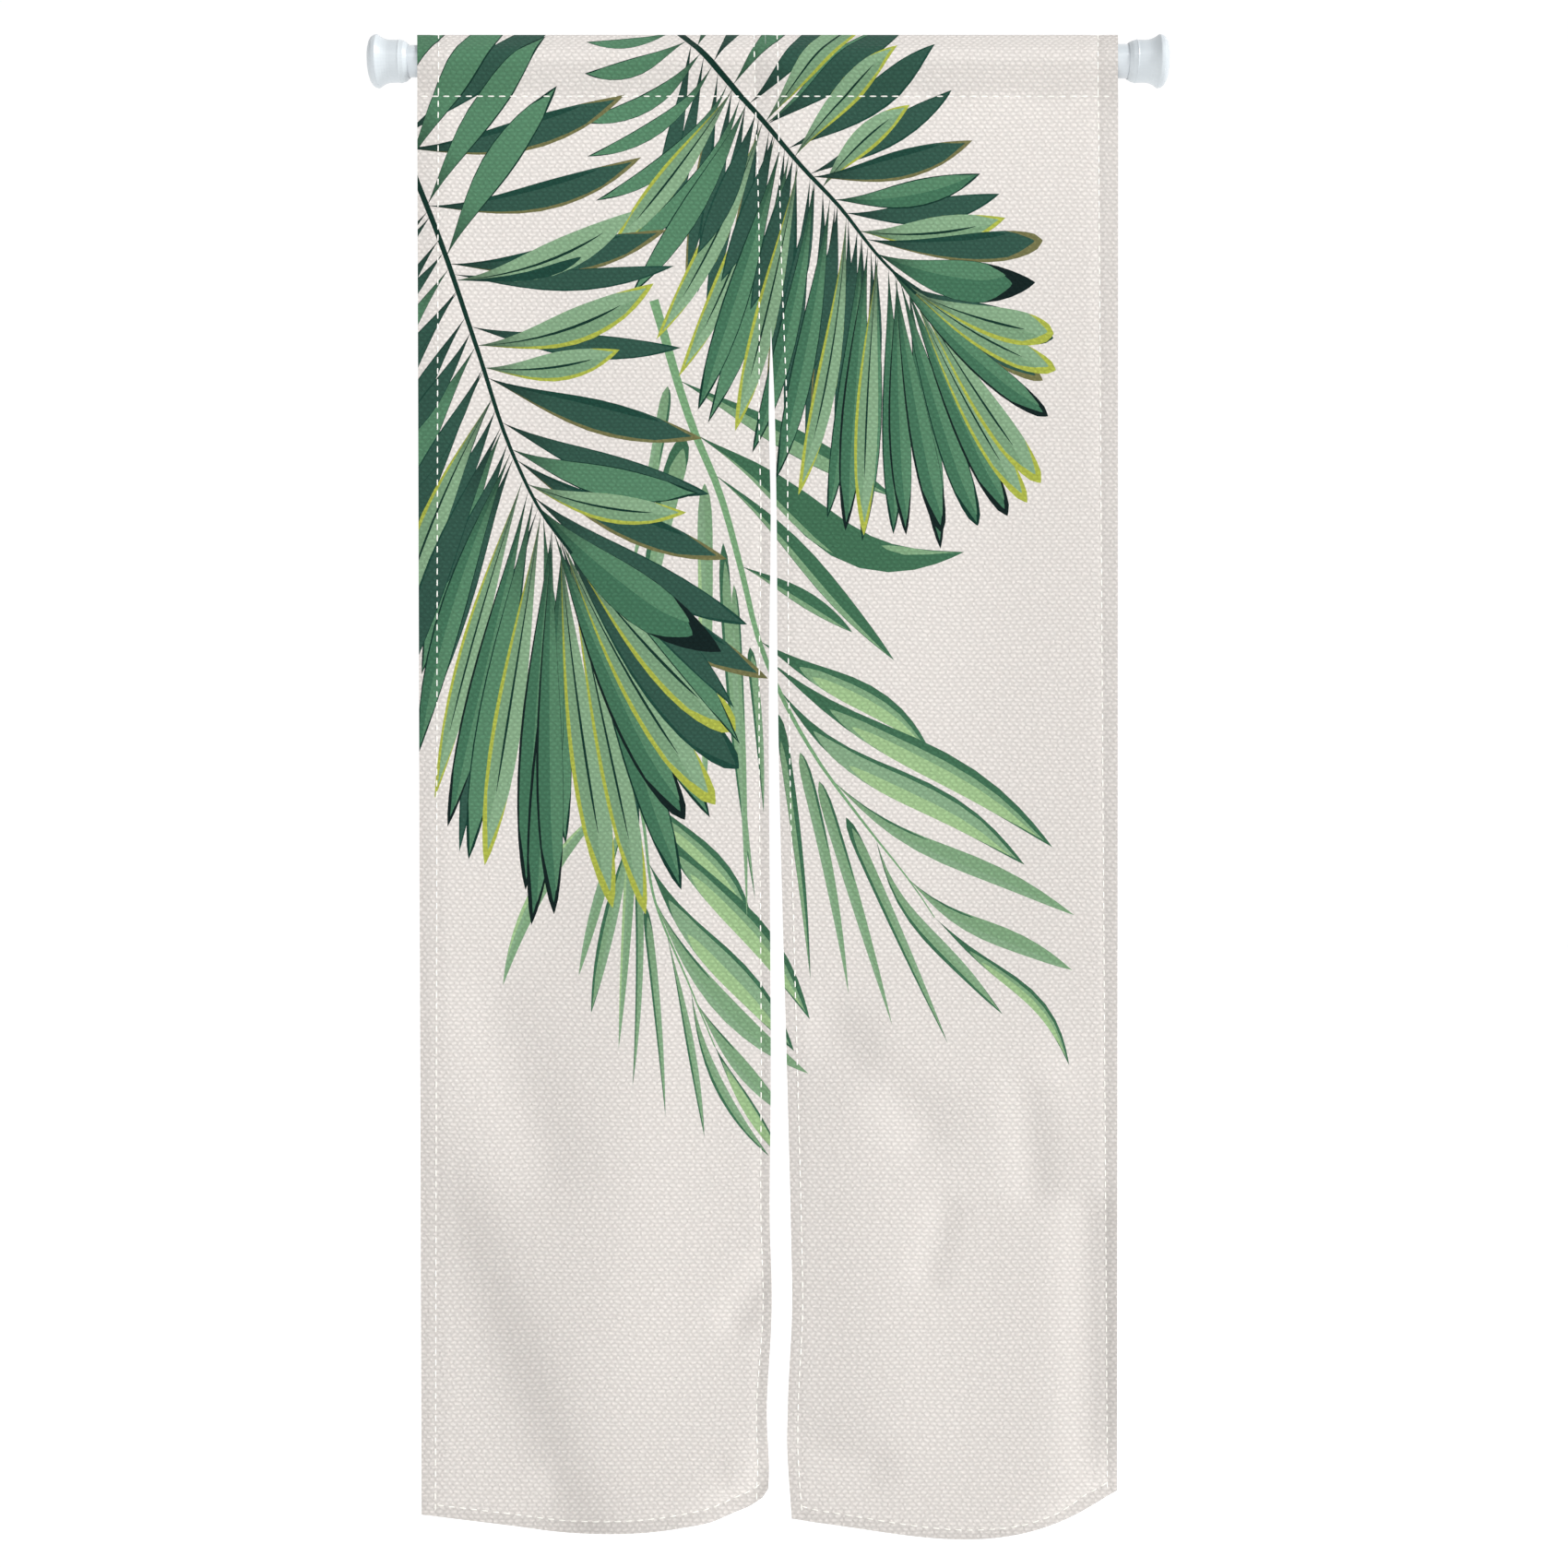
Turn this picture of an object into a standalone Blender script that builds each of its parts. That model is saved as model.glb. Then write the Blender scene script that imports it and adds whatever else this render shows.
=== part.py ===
"""A noren: two lengths of cloth, sewn together at the top, hanging on a telescoping tension rod.

Metres, +Z up. The origin is the centre of the left end cap's flat face and +X runs along the rod.
The printed front of the cloth faces -Y.
"""
import math

import bmesh
import bpy
from mathutils import Vector

# Fit
GAP = 0.0003                    # left between pieces that touch

# Rod
ROD_LENGTH = 0.9674             # from flat face to flat face
OUTER_TUBE_RADIUS = 0.020
INNER_TUBE_RADIUS = 0.01875
TUBE_WALL = 0.00095
OUTER_TUBE_START = 0.093        # the step between the tubes hides in the cloth's pocket
INNER_TUBE_END = 0.520
ROUND_SEGMENTS = 40
SHARP_EDGE = math.radians(35)

# End caps, as distances from the flat face and radii
CAP_FACE_RADIUS = 0.016
CAP_RIM = (0.010, 0.0312)
CAP_RIM_WIDTH = 0.0012
CAP_NECK = (0.027, 0.0248)
CAP_RIDGE_AT = 0.0382
CAP_RIDGE_RISE = 0.0006
CAP_RIDGE_HALF_WIDTH = 0.0013
CAP_SHOULDER = (0.0435, 0.0238)
CAP_LENGTH = 0.048
CAP_LIP = 0.0012                # wall left round the socket's mouth
SOCKET_FLOOR = 0.013
ROUND_STEPS = 5                 # points on the cap's domed edge, and on its flare

# Cloth
CLOTH = 0.0012                  # one layer
HEM_CLOTH = 0.0022              # the turned hems
HEM_STEP = 0.0015               # width of the step where a hem ends
TOP_CREASE = 0.0319             # height of the pressed fold above the rod's axis
CREASE_RADIUS = 0.0021
POCKET_SEAM = 0.0428            # depth of the sewn line below the rod's axis
BACK_ALLOWANCE = 0.008          # the back layer ends this far below that line
POCKET_ARC_STEPS = 5
POCKET_SIDE_STEPS = 2
COLUMNS = 13                    # strips across a panel, between its two hems
LEFT_LAST_COLUMN = 0.923        # place of the last line of points between the hems, as a share
RIGHT_LAST_COLUMN = 0.895       # here on the lower edge's cut corner
ROW_HEIGHT = 0.0315
FOLDS_START = 0.060             # the sheet is flat down to here below the axis
FOLDS_FULL = 0.220
STEP_SHARPNESS = 1.3
STEP_FADE = 2.0                 # half widths on either side of a step's first point

# The outlines below are as seen from this far in front of the curtain's middle, so cloth that hangs
# deeper than the rod's axis reaches farther out in proportion
SEEN_FROM = 2.6
SEEN_MIDDLE = (0.5027, -0.8763)

# Side edges: height of the point, distance along the rod
LEFT_OUTER_EDGE = ((0.0319, 0.0579), (-1.762, 0.0634))
LEFT_INNER_EDGE = (
    (0.0319, 0.47985), (-0.326, 0.48680), (-0.395, 0.4845), (-0.552, 0.4865), (-0.731, 0.4845),
    (-1.268, 0.4865), (-1.393, 0.4854), (-1.520, 0.4876), (-1.642, 0.4819), (-1.714, 0.4844),
    (-1.7303, 0.4836))
RIGHT_INNER_EDGE = (
    (0.0319, 0.48015), (-0.326, 0.48710), (-0.395, 0.4904), (-0.552, 0.4937), (-0.731, 0.4948),
    (-1.268, 0.5074), (-1.411, 0.5110), (-1.515, 0.5124), (-1.625, 0.5074), (-1.678, 0.5067),
    (-1.7667, 0.5120))
RIGHT_OUTER_EDGE = ((0.0319, 0.9077), (-1.7323, 0.9064))

# Bottom edges: distance along the rod, height of the point
LEFT_BOTTOM = (
    (0.0634, -1.7619), (0.1784, -1.7760), (0.2343, -1.7831), (0.3797, -1.7781), (0.4196, -1.7692),
    (0.4396, -1.7602), (0.4656, -1.7486), (0.4796, -1.7372), (0.4836, -1.7303))
RIGHT_BOTTOM = ((0.5120, -1.7667), (0.5538, -1.7731), (0.8535, -1.7630), (0.9064, -1.7323))

# Hem widths: height of the point and width at the sides, distance along the rod and width below
LEFT_OUTER_HEM = ((0.0319, 0.0258), (-1.762, 0.0165))
LEFT_INNER_HEM = (
    (0.0319, 0.0138), (-0.300, 0.0148), (-0.395, 0.0120), (-1.268, 0.0117), (-1.491, 0.0104),
    (-1.715, 0.0140))
RIGHT_INNER_HEM = ((0.0319, 0.0140), (-0.317, 0.0156), (-0.563, 0.0134), (-1.268, 0.0125), (-1.76, 0.0125))
RIGHT_OUTER_HEM = ((0.0319, 0.0247), (-1.268, 0.0152), (-1.732, 0.0120))
LEFT_BOTTOM_HEM = ((0.0634, 0.0138), (0.2343, 0.0142), (0.3797, 0.0164), (0.4836, 0.0186))
RIGHT_BOTTOM_HEM = (
    (0.5120, 0.0186), (0.5363, 0.0152), (0.7935, 0.0100), (0.8371, 0.0112), (0.8662, 0.0175),
    (0.9064, 0.0156))

# Folds. A ridge stands proud of the sheet along the line from one point to the other (a trough has a
# negative rise); beyond a step's line, on its right as one goes from the first point to the second,
# the cloth hangs forward by the rise (or deeper, where that is negative)
# kind, from x, from z, to x, to z, half width, rise towards the front
LEFT_FOLDS = (
    ("step", 0.0967, -1.335, 0.2354, -1.700, 0.046, -0.0190),
    ("ridge", 0.1500, -1.150, 0.2100, -1.330, 0.045, -0.0050),
    ("ridge", 0.3300, -1.050, 0.2900, -1.560, 0.090, 0.0070),
    ("ridge", 0.4430, -1.525, 0.4800, -1.462, 0.020, -0.0045),
    ("ridge", 0.2300, -1.722, 0.4200, -1.712, 0.022, -0.0040),
    ("step", 0.3950, -1.795, 0.4950, -1.690, 0.034, -0.0200),
    ("ridge", 0.1800, -0.300, 0.2100, -1.000, 0.110, -0.0050),
)
RIGHT_FOLDS = (
    ("ridge", 0.6300, -1.215, 0.7950, -1.232, 0.052, 0.0085),
    ("ridge", 0.5600, -1.170, 0.6700, -1.290, 0.034, -0.0050),
    ("ridge", 0.7950, -1.255, 0.8040, -1.360, 0.027, -0.0055),
    ("ridge", 0.8690, -1.400, 0.8720, -1.690, 0.030, -0.0070),
    ("ridge", 0.6970, -1.395, 0.6770, -1.470, 0.019, -0.0035),
    ("ridge", 0.5290, -1.672, 0.6050, -1.702, 0.026, -0.0045),
    ("ridge", 0.5900, -1.260, 0.6200, -1.640, 0.080, 0.0060),
    ("step", 0.8180, -1.790, 0.9200, -1.690, 0.034, -0.0200),
    ("ridge", 0.7600, -0.300, 0.7300, -1.000, 0.110, -0.0050),
)

PANELS = {
    "panel_left": dict(
        left=LEFT_OUTER_EDGE, right=LEFT_INNER_EDGE, bottom=LEFT_BOTTOM, left_hem=LEFT_OUTER_HEM,
        right_hem=LEFT_INNER_HEM, bottom_hem=LEFT_BOTTOM_HEM, last_column=LEFT_LAST_COLUMN,
        folds=LEFT_FOLDS),
    "panel_right": dict(
        left=RIGHT_INNER_EDGE, right=RIGHT_OUTER_EDGE, bottom=RIGHT_BOTTOM, left_hem=RIGHT_INNER_HEM,
        right_hem=RIGHT_OUTER_HEM, bottom_hem=RIGHT_BOTTOM_HEM, last_column=RIGHT_LAST_COLUMN,
        folds=RIGHT_FOLDS),
}


def clear_scene():
    for old in list(bpy.data.objects):
        bpy.data.objects.remove(old, do_unlink=True)


def material(name, colour, roughness, metallic=0.0):
    made = bpy.data.materials.new(name)
    made.use_nodes = True
    shader = made.node_tree.nodes["Principled BSDF"]
    shader.inputs["Base Color"].default_value = (*colour, 1.0)
    shader.inputs["Roughness"].default_value = roughness
    shader.inputs["Metallic"].default_value = metallic
    return made


def add_object(name, shape, finish):
    mesh = bpy.data.meshes.new(name)
    shape.to_mesh(mesh)
    shape.free()
    mesh.materials.append(finish)
    mesh.shade_smooth()
    mesh.set_sharp_from_angle(angle=SHARP_EDGE)
    made = bpy.data.objects.new(name, mesh)
    bpy.context.scene.collection.objects.link(made)
    return made


def smooth(value):
    value = min(max(value, 0.0), 1.0)
    return value * value * (3.0 - 2.0 * value)


def read_table(table, at):
    """The second column at a value of the first, on straight runs between the rows."""
    rows = sorted(table)
    if at <= rows[0][0]:
        return rows[0][1]
    for (low, first), (high, second) in zip(rows, rows[1:]):
        if at <= high:
            return first + (second - first) * (at - low) / (high - low)
    return rows[-1][1]


def turned(name, outline, finish):
    """A solid turned about the rod's axis from a closed outline of distances and radii."""
    shape = bmesh.new()
    corners = [shape.verts.new((along, 0.0, radius)) for along, radius in outline]
    edges = [shape.edges.new(pair) for pair in zip(corners, corners[1:] + corners[:1])]
    bmesh.ops.spin(
        shape, geom=corners + edges, cent=(0.0, 0.0, 0.0), axis=(1.0, 0.0, 0.0),
        angle=math.tau, steps=ROUND_SEGMENTS, use_merge=True)
    bmesh.ops.remove_doubles(shape, verts=shape.verts, dist=0.00001)
    stray = [edge for edge in shape.edges if not edge.link_faces]
    bmesh.ops.delete(shape, geom=stray, context='EDGES')
    bmesh.ops.recalc_face_normals(shape, faces=shape.faces)
    return add_object(name, shape, finish)


def tube(name, start, end, radius, finish):
    bore = radius - TUBE_WALL
    return turned(name, ((start, bore), (start, radius), (end, radius), (end, bore)), finish)


def cap_outline(tube_radius):
    """A domed face with a flat middle, a flare, a neck with a ridge, and a socket for the tube."""
    rim_at, rim_radius = CAP_RIM
    neck_at, neck_radius = CAP_NECK
    outline = [(0.0, 0.0)]
    for step in range(ROUND_STEPS + 1):
        turn = math.pi / 2 * step / ROUND_STEPS
        outline.append((
            rim_at * (1.0 - math.cos(turn)),
            CAP_FACE_RADIUS + (rim_radius - CAP_FACE_RADIUS) * math.sin(turn)))
    flare_start = rim_at + CAP_RIM_WIDTH
    for step in range(ROUND_STEPS + 1):
        left = 1.0 - step / ROUND_STEPS
        outline.append((
            neck_at - (neck_at - flare_start) * left,
            neck_radius + (rim_radius - neck_radius) * left ** 2))
    outline += [
        (CAP_RIDGE_AT - CAP_RIDGE_HALF_WIDTH, neck_radius),
        (CAP_RIDGE_AT, neck_radius + CAP_RIDGE_RISE),
        (CAP_RIDGE_AT + CAP_RIDGE_HALF_WIDTH, neck_radius),
        CAP_SHOULDER,
        (CAP_LENGTH, tube_radius + GAP + CAP_LIP),
        (CAP_LENGTH, tube_radius + GAP),
        (SOCKET_FLOOR, tube_radius + GAP),
        (SOCKET_FLOOR, 0.0),
    ]
    return outline


def build_rod():
    white_steel = material("white_steel", (0.80, 0.83, 0.86), 0.35)
    white_plastic = material("white_plastic", (0.84, 0.86, 0.89), 0.30)
    seat = SOCKET_FLOOR + GAP
    tube("rod_tube_outer", OUTER_TUBE_START, ROD_LENGTH - seat, OUTER_TUBE_RADIUS, white_steel)
    tube("rod_tube_inner", seat, INNER_TUBE_END, INNER_TUBE_RADIUS, white_steel)
    turned("end_cap_left", cap_outline(INNER_TUBE_RADIUS), white_plastic)
    right = [(ROD_LENGTH - along, radius) for along, radius in cap_outline(OUTER_TUBE_RADIUS)]
    turned("end_cap_right", right, white_plastic)


def fold_shape(fold, x, z):
    """What one fold adds towards the front at a point of the sheet."""
    kind, from_x, from_z, to_x, to_z, half_width, rise = fold
    run = Vector((to_x - from_x, to_z - from_z))
    point = Vector((x - from_x, z - from_z))
    along = point.dot(run) / run.length
    across = (point.x * run.y - point.y * run.x) / run.length
    if kind == "step":
        side = 0.5 + 0.5 * math.tanh(STEP_SHARPNESS * across / half_width)
        fade = smooth(0.5 + along / (2.0 * STEP_FADE * half_width))
        return rise * side * fade
    beyond = max(0.0, -along, along - run.length)
    return rise * math.exp(-(across * across + beyond * beyond) / (half_width * half_width))


def forward(panel, x, z):
    """How far the hanging sheet stands in front of its plane at a point."""
    free = smooth((-z - FOLDS_START) / (FOLDS_FULL - FOLDS_START))
    return free * sum(fold_shape(fold, x, z) for fold in panel["folds"])


def pocket_section():
    """Depth and height along the printed side, from the sewn line up over the rod and down the back."""
    around = OUTER_TUBE_RADIUS + GAP + CLOTH
    seam_half = CLOTH + GAP / 2
    crease_centre = TOP_CREASE - CREASE_RADIUS
    low = math.asin((around - seam_half) / POCKET_SEAM)
    high = math.asin((around - CREASE_RADIUS) / crease_centre)
    step = (low + high) / POCKET_ARC_STEPS
    reach = around / math.cos(step / 2)
    front = [Vector((-seam_half, -POCKET_SEAM))]
    arc_start = Vector((-reach * math.cos(low), -reach * math.sin(low)))
    arc = [
        Vector((-reach * math.cos(turn * step - low), reach * math.sin(turn * step - low)))
        for turn in range(POCKET_ARC_STEPS + 1)]
    for part in range(1, POCKET_SIDE_STEPS):
        front.append(front[0].lerp(arc_start, part / POCKET_SIDE_STEPS))
    front += arc
    crease = [
        Vector((-CREASE_RADIUS * math.cos(turn), crease_centre + CREASE_RADIUS * math.sin(turn)))
        for turn in (high, (high + math.pi / 2) / 2)]
    front.append(arc[-1].lerp(crease[0], 0.5))
    front += crease
    back = [Vector((-point.x, point.y)) for point in reversed(front)]
    end = Vector((seam_half, -POCKET_SEAM - BACK_ALLOWANCE))
    return front + [Vector((0.0, TOP_CREASE))] + back + [end]


def column_places(panel, z):
    """Distances along the rod of a panel's columns of points at one height."""
    left = read_table(panel["left"], z)
    right = read_table(panel["right"], z)
    left_hem = left + read_table(panel["left_hem"], z)
    right_hem = right - read_table(panel["right_hem"], z)
    inner_left = left_hem + HEM_STEP
    inner_right = right_hem - HEM_STEP
    shares = [panel["last_column"] * part / (COLUMNS - 1) for part in range(COLUMNS)] + [1.0]
    between = [inner_left + (inner_right - inner_left) * share for share in shares]
    return [left, left_hem] + between + [right_hem, right]


def sheet_column(panel, column, rows):
    """Points of one column of the hanging sheet, from the bottom edge up to below the sewn line."""
    top = -POCKET_SEAM
    foot = column_places(panel, min(height for _, height in panel["bottom"]))[column]
    bottom = read_table(panel["bottom"], foot)
    hem = read_table(panel["bottom_hem"], foot)
    heights = [bottom, bottom + hem]
    start = bottom + hem + HEM_STEP
    heights += [start + (top - start) * part / rows for part in range(rows)]
    points = []
    for z in heights:
        x = column_places(panel, z)[column]
        out = forward(panel, x, z)
        farther = (SEEN_FROM - out) / SEEN_FROM
        points.append(Vector((
            SEEN_MIDDLE[0] + (x - SEEN_MIDDLE[0]) * farther,
            -CLOTH - GAP / 2 - out,
            SEEN_MIDDLE[1] + (z - SEEN_MIDDLE[1]) * farther)))
    return points


def build_panel(name, panel, finish):
    """A panel as its printed face, which the hem group and a Solidify modifier make into cloth."""
    rows = round((-POCKET_SEAM - min(height for _, height in panel["bottom"])) / ROW_HEIGHT)
    pocket = pocket_section()
    shape = bmesh.new()
    grid = []
    for column in range(len(column_places(panel, 0.0))):
        points = sheet_column(panel, column, rows)
        for depth, height in pocket:
            points.append(Vector((column_places(panel, height)[column], depth, height)))
        grid.append([shape.verts.new(point) for point in points])
    for first, second in zip(grid, grid[1:]):
        for row in range(len(first) - 1):
            shape.faces.new((first[row], second[row], second[row + 1], first[row + 1]))
    shape.verts.index_update()
    last = len(grid) - 1
    hem_points = [
        point.index for column, points in enumerate(grid) for row, point in enumerate(points)
        if row < 2 or (column in (0, 1, last - 1, last) and row < rows)]
    made = add_object(name, shape, finish)
    group = made.vertex_groups.new(name="hem")
    group.add(hem_points, 1.0, 'REPLACE')
    cloth = made.modifiers.new("cloth", 'SOLIDIFY')
    cloth.thickness = HEM_CLOTH
    cloth.offset = -1.0
    cloth.use_even_offset = True
    cloth.vertex_group = group.name
    cloth.thickness_vertex_group = CLOTH / HEM_CLOTH
    return made


def build_curtain():
    clear_scene()
    build_rod()
    linen = material("linen", (0.80, 0.77, 0.73), 0.9)
    for name, panel in PANELS.items():
        build_panel(name, panel, linen)


build_curtain()
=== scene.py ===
import math
import random

import bpy
import numpy as np
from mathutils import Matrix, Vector
from mathutils.geometry import delaunay_2d_cdt


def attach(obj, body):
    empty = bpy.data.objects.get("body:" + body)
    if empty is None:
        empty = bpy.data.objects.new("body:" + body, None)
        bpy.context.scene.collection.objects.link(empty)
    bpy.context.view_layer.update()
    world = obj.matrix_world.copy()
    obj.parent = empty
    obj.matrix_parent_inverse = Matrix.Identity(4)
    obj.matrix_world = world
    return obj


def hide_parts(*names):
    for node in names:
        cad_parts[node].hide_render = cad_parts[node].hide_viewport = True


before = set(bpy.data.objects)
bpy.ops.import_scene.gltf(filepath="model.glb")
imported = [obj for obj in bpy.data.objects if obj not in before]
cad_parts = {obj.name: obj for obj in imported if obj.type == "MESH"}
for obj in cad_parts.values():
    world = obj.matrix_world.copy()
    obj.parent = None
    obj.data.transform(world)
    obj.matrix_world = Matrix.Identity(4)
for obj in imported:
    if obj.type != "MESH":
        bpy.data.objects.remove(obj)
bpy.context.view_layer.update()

# Rod and cloth, in metres. These values, the edges, the hems and the folds repeat the part's source
GAP = 0.0003
OUTER_TUBE_RADIUS = 0.020
CLOTH = 0.0012
HEM_CLOTH = 0.0022
HEM_STEP = 0.0015
TOP_CREASE = 0.0319
CREASE_RADIUS = 0.0021
POCKET_SEAM = 0.0428
BACK_ALLOWANCE = 0.008
FOLDS_START = 0.060
FOLDS_FULL = 0.220
STEP_SHARPNESS = 1.3
STEP_FADE = 2.0
SEEN_FROM = 2.6
SEEN_MIDDLE = (0.5027, -0.8763)

# Side edges: height of the point, distance along the rod
LEFT_OUTER_EDGE = ((0.0319, 0.0579), (-1.762, 0.0634))
LEFT_INNER_EDGE = (
    (0.0319, 0.47985), (-0.326, 0.48680), (-0.395, 0.4845), (-0.552, 0.4865), (-0.731, 0.4845),
    (-1.268, 0.4865), (-1.393, 0.4854), (-1.520, 0.4876), (-1.642, 0.4819), (-1.714, 0.4844),
    (-1.7303, 0.4836))
RIGHT_INNER_EDGE = (
    (0.0319, 0.48015), (-0.326, 0.48710), (-0.395, 0.4904), (-0.552, 0.4937), (-0.731, 0.4948),
    (-1.268, 0.5074), (-1.411, 0.5110), (-1.515, 0.5124), (-1.625, 0.5074), (-1.678, 0.5067),
    (-1.7667, 0.5120))
RIGHT_OUTER_EDGE = ((0.0319, 0.9077), (-1.7323, 0.9064))

# Bottom edges: distance along the rod, height of the point
LEFT_BOTTOM = (
    (0.0634, -1.7619), (0.1784, -1.7760), (0.2343, -1.7831), (0.3797, -1.7781), (0.4196, -1.7692),
    (0.4396, -1.7602), (0.4656, -1.7486), (0.4796, -1.7372), (0.4836, -1.7303))
RIGHT_BOTTOM = ((0.5120, -1.7667), (0.5538, -1.7731), (0.8535, -1.7630), (0.9064, -1.7323))

# Hem widths: height of the point and width at the sides, distance along the rod and width below
LEFT_OUTER_HEM = ((0.0319, 0.0258), (-1.762, 0.0165))
LEFT_INNER_HEM = (
    (0.0319, 0.0138), (-0.300, 0.0148), (-0.395, 0.0120), (-1.268, 0.0117), (-1.491, 0.0104),
    (-1.715, 0.0140))
RIGHT_INNER_HEM = ((0.0319, 0.0140), (-0.317, 0.0156), (-0.563, 0.0134), (-1.268, 0.0125), (-1.76, 0.0125))
RIGHT_OUTER_HEM = ((0.0319, 0.0247), (-1.268, 0.0152), (-1.732, 0.0120))
LEFT_BOTTOM_HEM = ((0.0634, 0.0138), (0.2343, 0.0142), (0.3797, 0.0164), (0.4836, 0.0186))
RIGHT_BOTTOM_HEM = (
    (0.5120, 0.0186), (0.5363, 0.0152), (0.7935, 0.0100), (0.8371, 0.0112), (0.8662, 0.0175),
    (0.9064, 0.0156))

# Folds: kind, from x, from z, to x, to z, half width, rise towards the front
LEFT_FOLDS = (
    ("step", 0.0967, -1.335, 0.2354, -1.700, 0.046, -0.0190),
    ("ridge", 0.1500, -1.150, 0.2100, -1.330, 0.045, -0.0050),
    ("ridge", 0.3300, -1.050, 0.2900, -1.560, 0.090, 0.0070),
    ("ridge", 0.4430, -1.525, 0.4800, -1.462, 0.020, -0.0045),
    ("ridge", 0.2300, -1.722, 0.4200, -1.712, 0.022, -0.0040),
    ("step", 0.3950, -1.795, 0.4950, -1.690, 0.034, -0.0200),
    ("ridge", 0.1800, -0.300, 0.2100, -1.000, 0.110, -0.0050),
)
RIGHT_FOLDS = (
    ("ridge", 0.6300, -1.215, 0.7950, -1.232, 0.052, 0.0085),
    ("ridge", 0.5600, -1.170, 0.6700, -1.290, 0.034, -0.0050),
    ("ridge", 0.7950, -1.255, 0.8040, -1.360, 0.027, -0.0055),
    ("ridge", 0.8690, -1.400, 0.8720, -1.690, 0.030, -0.0070),
    ("ridge", 0.6970, -1.395, 0.6770, -1.470, 0.019, -0.0035),
    ("ridge", 0.5290, -1.672, 0.6050, -1.702, 0.026, -0.0045),
    ("ridge", 0.5900, -1.260, 0.6200, -1.640, 0.080, 0.0060),
    ("step", 0.8180, -1.790, 0.9200, -1.690, 0.034, -0.0200),
    ("ridge", 0.7600, -0.300, 0.7300, -1.000, 0.110, -0.0050),
)

PANELS = {
    "panel_left": dict(
        left=LEFT_OUTER_EDGE, right=LEFT_INNER_EDGE, bottom=LEFT_BOTTOM, left_hem=LEFT_OUTER_HEM,
        right_hem=LEFT_INNER_HEM, bottom_hem=LEFT_BOTTOM_HEM, folds=LEFT_FOLDS),
    "panel_right": dict(
        left=RIGHT_INNER_EDGE, right=RIGHT_OUTER_EDGE, bottom=RIGHT_BOTTOM, left_hem=RIGHT_INNER_HEM,
        right_hem=RIGHT_OUTER_HEM, bottom_hem=RIGHT_BOTTOM_HEM, folds=RIGHT_FOLDS),
}

# Mesh of the cloth
FREE_POINTS = 0.012             # distance between the points that no line of the print holds
EDGE_POINTS = 0.007
ARC_STEPS = 12
CREASE_STEPS = 4
MERGE = 0.00003                 # points closer than this become one
SLOPE_STEP = 0.0008             # for the slopes of the surface
SEAMS_FROM = -1.80              # the lines of stitches start below the cloth and are cut at its edge
GRID_FROM = -1.79
GRID_INSET = 0.004              # how far free points stay inside the cloth's edges
LINE_INSET = 0.0005
SPAN_HEIGHTS = (0.0, -1.0, -1.7)    # the cloth's width is read at these
COLUMN_OVERHANG = 0.01
PRINT_OVERHANG = 0.02
SMALLEST_FACE = 1e-12
SHORTEST = 1e-9

# Sewing
STITCH_LENGTH = 0.0094
STITCH_PITCH = 0.0135
STITCH_HALF_WIDTH = 0.00075
STITCH_HALF_HEIGHT = 0.00042
STITCH_RINGS = 7
STITCH_SIDES = 8
STITCH_ENDS = 0.86              # how far the ends close
STITCH_TAPER = 0.25
STITCH_LIFT = 0.00018           # of the middle, off the cloth
STITCH_DIVE = 0.00075           # of the ends, into it
STITCH_INSET = 0.55             # share of its length that a stitch's middle stays inside the cloth's edges
STITCH_AHEAD = 0.003            # for a stitch's direction
ROW_START = 0.6                 # shares of the pitch, at the ends of the pocket's rows
ROW_END = 0.5
GROOVE_DEPTH = 0.00045
GROOVE_HALF_WIDTH = 0.0028
PUCKER = 0.00022
PUCKER_WIDER = 2.2              # times the groove's half width

# Weave. A shift of its threads: the noise's scale and detail, and how far it moves them
FLOAT_PITCH = 0.0087
ROW_PITCH = 0.0049
SLUB = (9.0, 1.0, 0.0080)
WANDER = (150.0, 0.0, 0.0068)
FINE_WANDER = (190.0, 0.0, 0.0020)
WHOLE_ROWS = 0.62               # their weight against the single floats
SPECK = (300.0, 1.0, 0.6)       # a noise's scale, detail and roughness
SPECK_SCALE = 2.4
SPECK_SHIFT = -0.2
WEAVE_CONTRAST = 0.094
CLOTH_TONE = 0.835              # the white room lights the cloth strongly, so its own colour is darker
WEAVE_BUMP = (0.0006, 0.5)      # distance, strength
WARM_NOISE = (120.0, 0.0)
WARM_MOST = 0.5
WARM_TINT = (1.0, 0.975, 0.975, 1.0)
BACK_PALENESS = 0.45            # behind, the print fades towards the ground by this
HEM_PAINTED_SHADE = 0.912               # painted shade: the light that the doubled cloth gives back, against the single, set into its colour

# Plain materials: two tones, a noise's scale and detail for their patches and for the grain, the
# grain's depth and strength, roughness, coat
THREAD = (((250, 248, 240), (255, 254, 248)), (300.0, 2.0), (900.0, 2.0), (0.0002, 0.6), 0.7, 0.0)
STEEL = (((202, 209, 215), (208, 215, 219)), (40.0, 3.0), (700.0, 2.0), (0.00008, 0.3), 0.35, 0.4)
CAP = (((197, 204, 209), (203, 210, 214)), (25.0, 2.0), (260.0, 2.0), (0.00006, 0.3), 0.42, 0.15)

# Print colours, as sRGB bytes
COLOURS = {
    "ground": (233, 228, 223),
    "deep": (8, 50, 40),
    "black": (5, 28, 27),
    "dark": (47, 84, 71),
    "teal": (25, 68, 56),
    "mid": (84, 131, 100),
    "mid2": (64, 112, 85),
    "sage": (133, 168, 133),
    "sage2": (120, 156, 121),
    "pale": (158, 192, 140),
    "light": (126, 163, 125),
    "leafy": (62, 108, 80),
    "rachis": (122, 166, 122),
    "yellow": (168, 178, 72),
    "olive": (112, 112, 72),
}

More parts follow.
